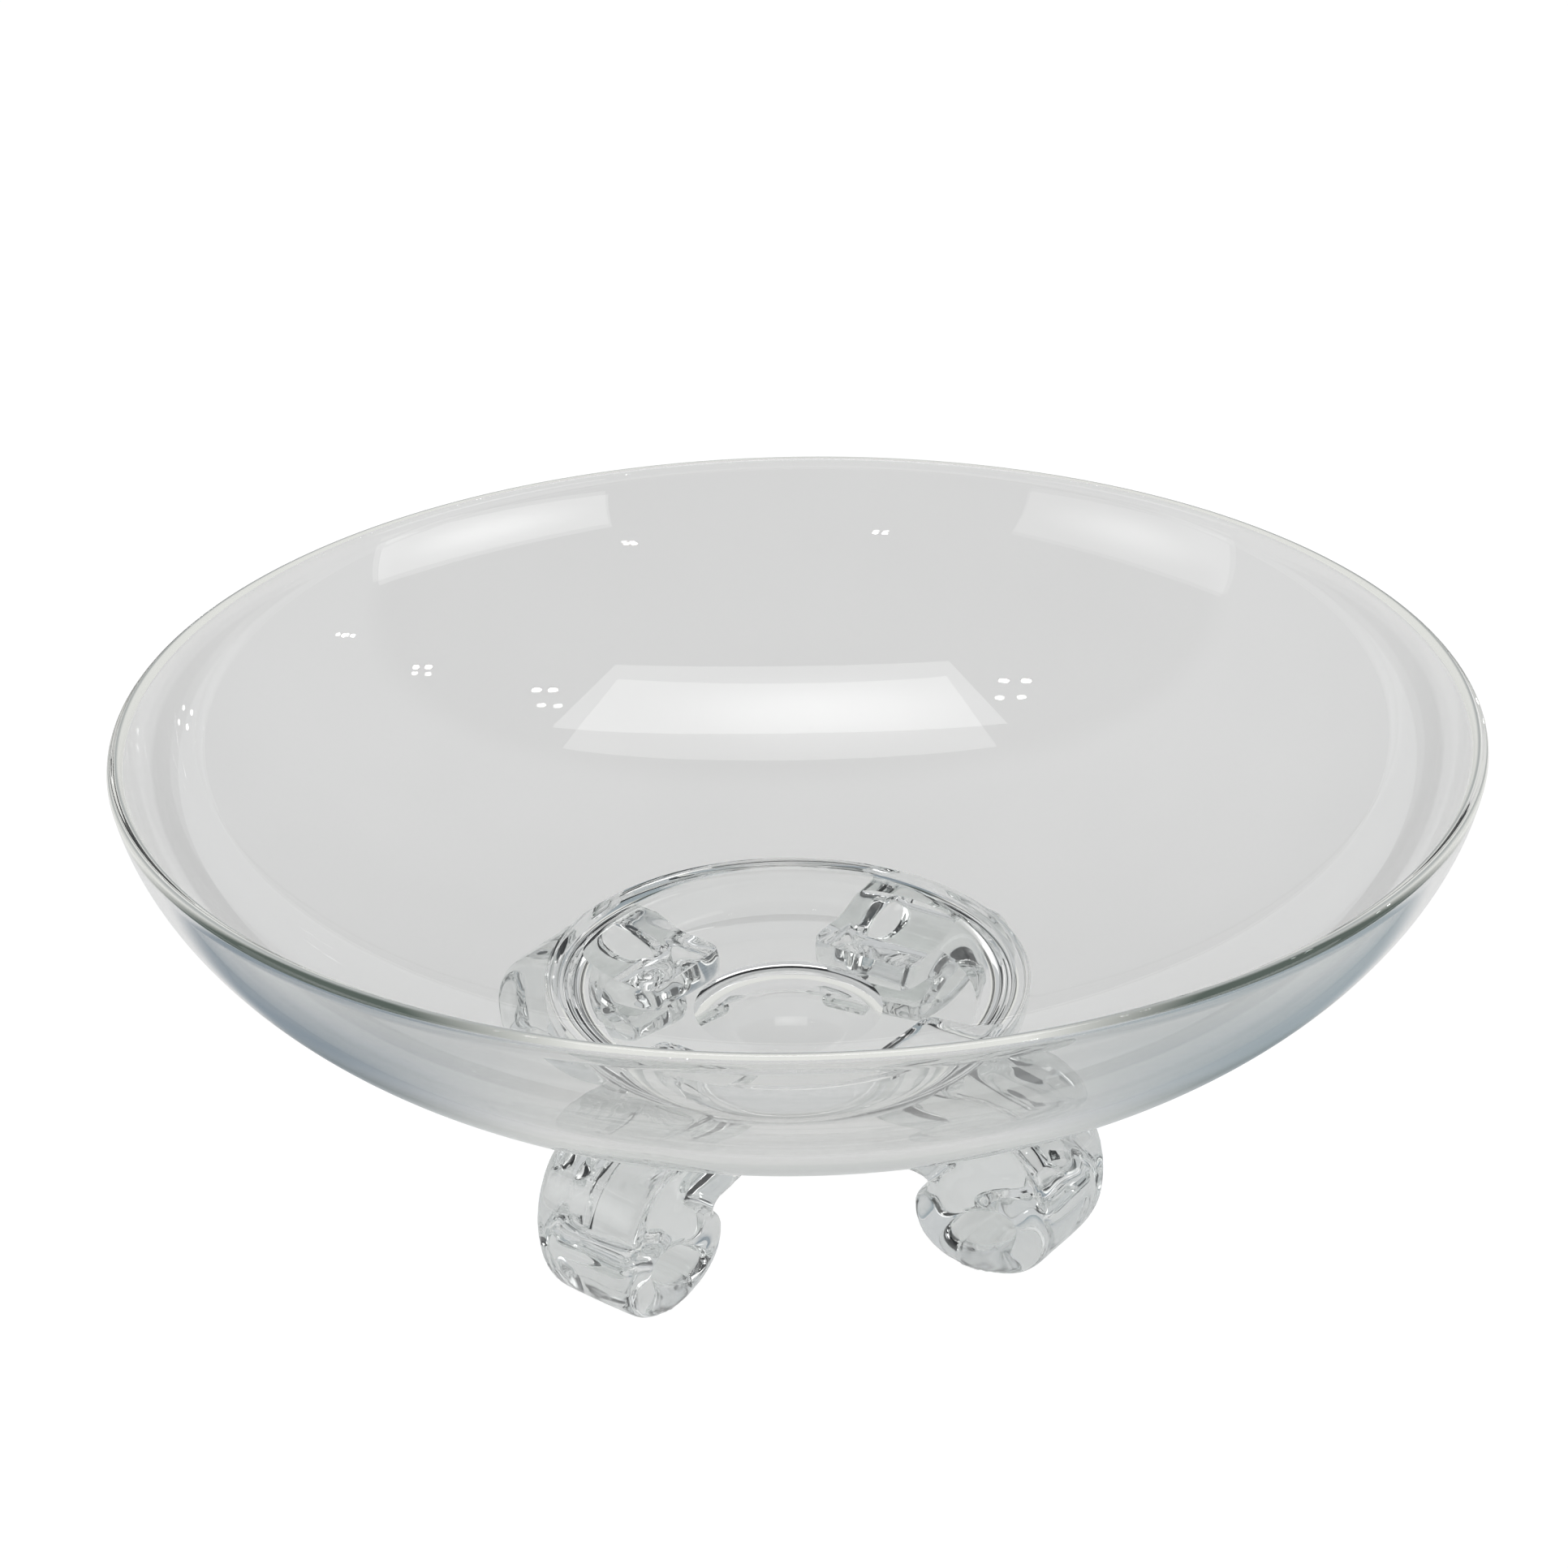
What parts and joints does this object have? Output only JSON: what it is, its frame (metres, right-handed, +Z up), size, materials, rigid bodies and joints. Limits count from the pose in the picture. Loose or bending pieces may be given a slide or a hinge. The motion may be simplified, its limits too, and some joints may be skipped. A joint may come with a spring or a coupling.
{
  "type": "floating candle bowl",
  "caption": "Shallow round clear crystal bowl for floating candles, fused on a thick round disc that stands on rolled scroll feet.",
  "frame": {"origin": "on the surface that the bowl stands on, under the middle of the bowl", "axes": "+Z up along the bowl's axis; the feet stand at 45, 135, 225 and 315 degrees from +X"},
  "size_m": [0.305, 0.305, 0.125],
  "materials": {
    "bowl_crystal": "blown, fire-polished",
    "disc_crystal": "pressed, fire-polished, recess ground and polished",
    "foot_crystal": "hand tooled, fire-polished"
  },
  "bodies": {
    "root": {"bowl": "bowl_crystal", "base_disc": "disc_crystal", "foot_front_left": "foot_crystal", "foot_front_right": "foot_crystal", "foot_back_left": "foot_crystal", "foot_back_right": "foot_crystal"}
  },
  "joints": []
}
